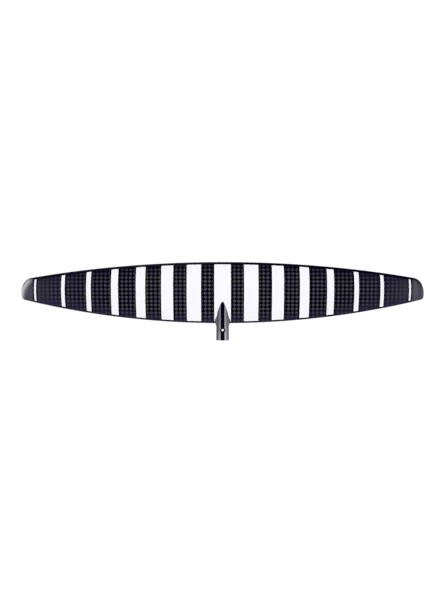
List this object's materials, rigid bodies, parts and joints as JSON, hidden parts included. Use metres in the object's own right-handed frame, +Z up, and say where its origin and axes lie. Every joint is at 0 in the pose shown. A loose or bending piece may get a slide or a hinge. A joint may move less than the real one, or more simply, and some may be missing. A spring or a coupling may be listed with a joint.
{
  "type": "hydrofoil front wing",
  "caption": "Long slim hydrofoil wing in glossy woven carbon with white cross stripes and a short hollow tail that sockets onto a fuselage and takes one countersunk screw.",
  "frame": {"origin": "centre of the socket's mouth, on the socket's axis, in the plane of the tail's end", "axes": "+X along the span to the right tip as seen from above with the leading edge ahead, +Y forward to the leading edge, +Z up on the suction side"},
  "size_m": [1.075, 0.203, 0.0531],
  "materials": {
    "carbon_weave": "clear-coated spread-tow carbon, woven at 45 degrees",
    "plain_carbon": "smooth dark lacquer with no weave",
    "unidirectional_carbon": "bare laminate, fibres along the length",
    "core_foam": "fine closed-cell foam",
    "edge_filler": "filled epoxy and chopped fibre",
    "dark_metal": "black anodised, satin",
    "white_film": "white under clear lacquer, gloss"
  },
  "bodies": {
    "root": {"upper_skin": "carbon_weave", "lower_skin": "carbon_weave", "upper_spar_cap": "unidirectional_carbon", "lower_spar_cap": "unidirectional_carbon", "spar_core_left": "core_foam", "spar_core_right": "core_foam", "front_core_left": "core_foam", "front_core_right": "core_foam", "rear_core_left": "core_foam", "rear_core_right": "core_foam", "leading_edge_filler": "edge_filler", "trailing_edge_strip_left": "edge_filler", "trailing_edge_strip_right": "edge_filler", "wing_tip_left": "carbon_weave", "wing_tip_right": "carbon_weave", "root_block": "edge_filler", "socket_tube": "unidirectional_carbon", "socket_end_wall": "edge_filler", "upper_fairing": "plain_carbon", "lower_fairing": "plain_carbon", "upper_screw_seat": "dark_metal", "lower_screw_bush": "dark_metal", "stripe_centre": "white_film", "stripe_left_1": "white_film", "stripe_left_2": "white_film", "stripe_left_3": "white_film", "stripe_left_4": "white_film", "stripe_left_5": "white_film", "stripe_left_6": "white_film", "stripe_left_7": "white_film", "stripe_right_1": "white_film", "stripe_right_2": "white_film", "stripe_right_3": "white_film", "stripe_right_4": "white_film", "stripe_right_5": "white_film", "stripe_right_6": "white_film", "stripe_right_7": "white_film"}
  },
  "joints": []
}
